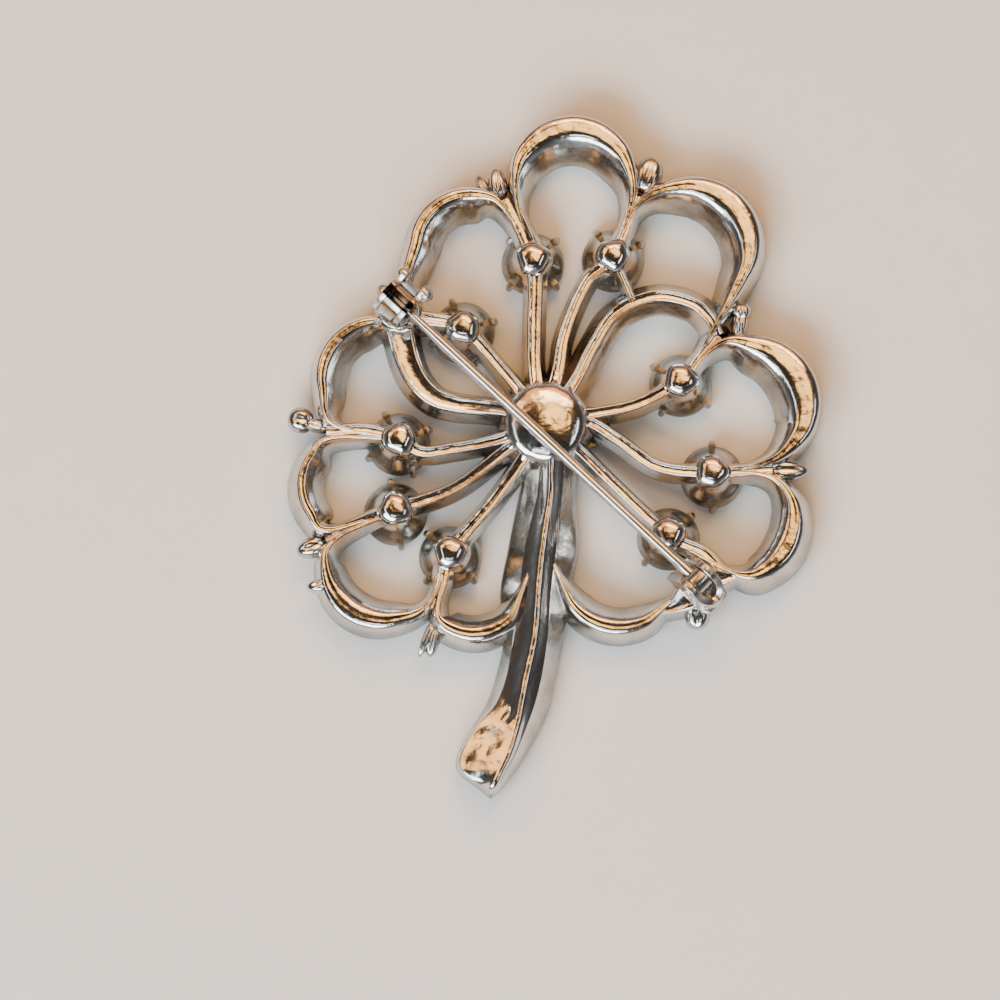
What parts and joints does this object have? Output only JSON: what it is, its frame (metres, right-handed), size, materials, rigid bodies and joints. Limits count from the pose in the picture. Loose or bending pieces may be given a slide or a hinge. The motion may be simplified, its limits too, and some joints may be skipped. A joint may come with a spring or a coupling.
{
  "type": "brooch",
  "caption": "Cast metal brooch in the form of a round tree with scalloped canopy, radiating branches and flared trunk, round stones in cups, and a hinged pin with a turning safety catch.",
  "frame": {"origin": "centre of the bounding box's underside, on the surface that the stones' tables lie on when the brooch lies face down", "axes": "+Z out of the brooch's back, +Y up the tree from its trunk to its top, +X to the right as seen from the back"},
  "size_m": [0.0466, 0.0604, 0.0088],
  "materials": {
    "casting": "silver-coloured plating, polished, with a slightly uneven cast surface",
    "stone": "clear cut glass",
    "fitting": "silver-coloured plating, bright",
    "pin_wire": "drawn steel wire, polished"
  },
  "bodies": {
    "brooch": {"cast_frame": "casting", "stone_1": "stone", "stone_2": "stone", "stone_3": "stone", "stone_4": "stone", "stone_5": "stone", "stone_6": "stone", "stone_7": "stone", "stone_8": "stone", "stone_9": "stone", "joint_rivet": "fitting"},
    "pin": {"pin_stem": "pin_wire"},
    "rotor": {"catch_rotor": "fitting"}
  },
  "joints": [
    {"name": "pin_hinge", "type": "hinge", "parent": "brooch", "child": "pin", "pos_m": [0.01243, -0.012, 0.007], "axis": [0.6873, 0.7264, 0], "range_deg": [0, 95]},
    {"name": "catch_turn", "type": "hinge", "parent": "brooch", "child": "rotor", "pos_m": [-0.01357, 0.0126, 0.007], "axis": [0.7264, -0.6873, 0], "range_deg": [0, 110]}
  ]
}
